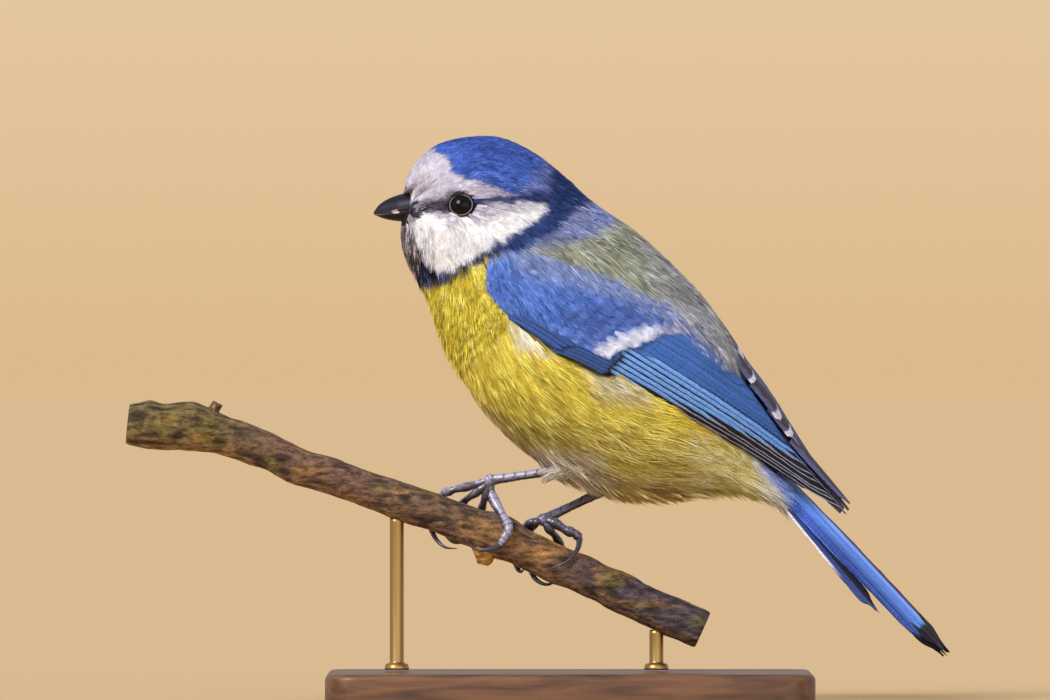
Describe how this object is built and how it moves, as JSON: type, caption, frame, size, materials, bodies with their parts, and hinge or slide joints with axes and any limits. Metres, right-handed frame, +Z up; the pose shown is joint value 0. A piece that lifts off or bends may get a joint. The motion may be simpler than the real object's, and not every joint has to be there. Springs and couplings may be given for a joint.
{
  "type": "blue tit on a perch",
  "caption": "Life-size still model of a blue tit gripping a short cut branch, with folded wings and closed tail, held by two rods on a flat base.",
  "frame": {"origin": "middle of the underside of the stand's base, on the floor", "axes": "+X from the bird's bill towards its tail along the branch, -Y the bird's left side, +Z up"},
  "size_m": [0.1287, 0.046, 0.0887],
  "materials": {
    "plumage_head": "soft matt feather, white with blue cap",
    "plumage_back": "soft matt feather, grey green and blue",
    "plumage_yellow": "soft matt feather, sulphur yellow",
    "flight_feather": "satin vaned feather, blue",
    "bill_horn": "smooth horn, blue black",
    "claw_horn": "smooth horn, dark slate",
    "eye": "wet gloss, black brown",
    "leg_scale": "scaled skin, slate blue, low sheen",
    "bark": "rough bark with lichen",
    "stand_wood": "plain turned and oiled wood, satin",
    "stand_metal": "drawn rod, satin"
  },
  "bodies": {
    "root": {"head": "plumage_head", "bill_upper": "bill_horn", "bill_lower": "bill_horn", "eye_left": "eye", "eye_right": "eye", "neck": "plumage_back", "breast": "plumage_yellow", "belly": "plumage_yellow", "rump": "plumage_yellow", "tail": "flight_feather", "wing_left": "flight_feather", "wing_right": "flight_feather", "thigh_left": "plumage_yellow", "thigh_right": "plumage_yellow", "tarsus_left": "leg_scale", "tarsus_right": "leg_scale", "foot_left": "leg_scale", "foot_right": "leg_scale", "perch": "bark", "stand_base": "stand_wood", "stand_rod_front": "stand_metal", "stand_rod_rear": "stand_metal", "claw_left_hind": "claw_horn", "claw_left_inner": "claw_horn", "claw_left_middle": "claw_horn", "claw_left_outer": "claw_horn", "claw_right_hind": "claw_horn", "claw_right_inner": "claw_horn", "claw_right_middle": "claw_horn", "claw_right_outer": "claw_horn"}
  },
  "joints": []
}
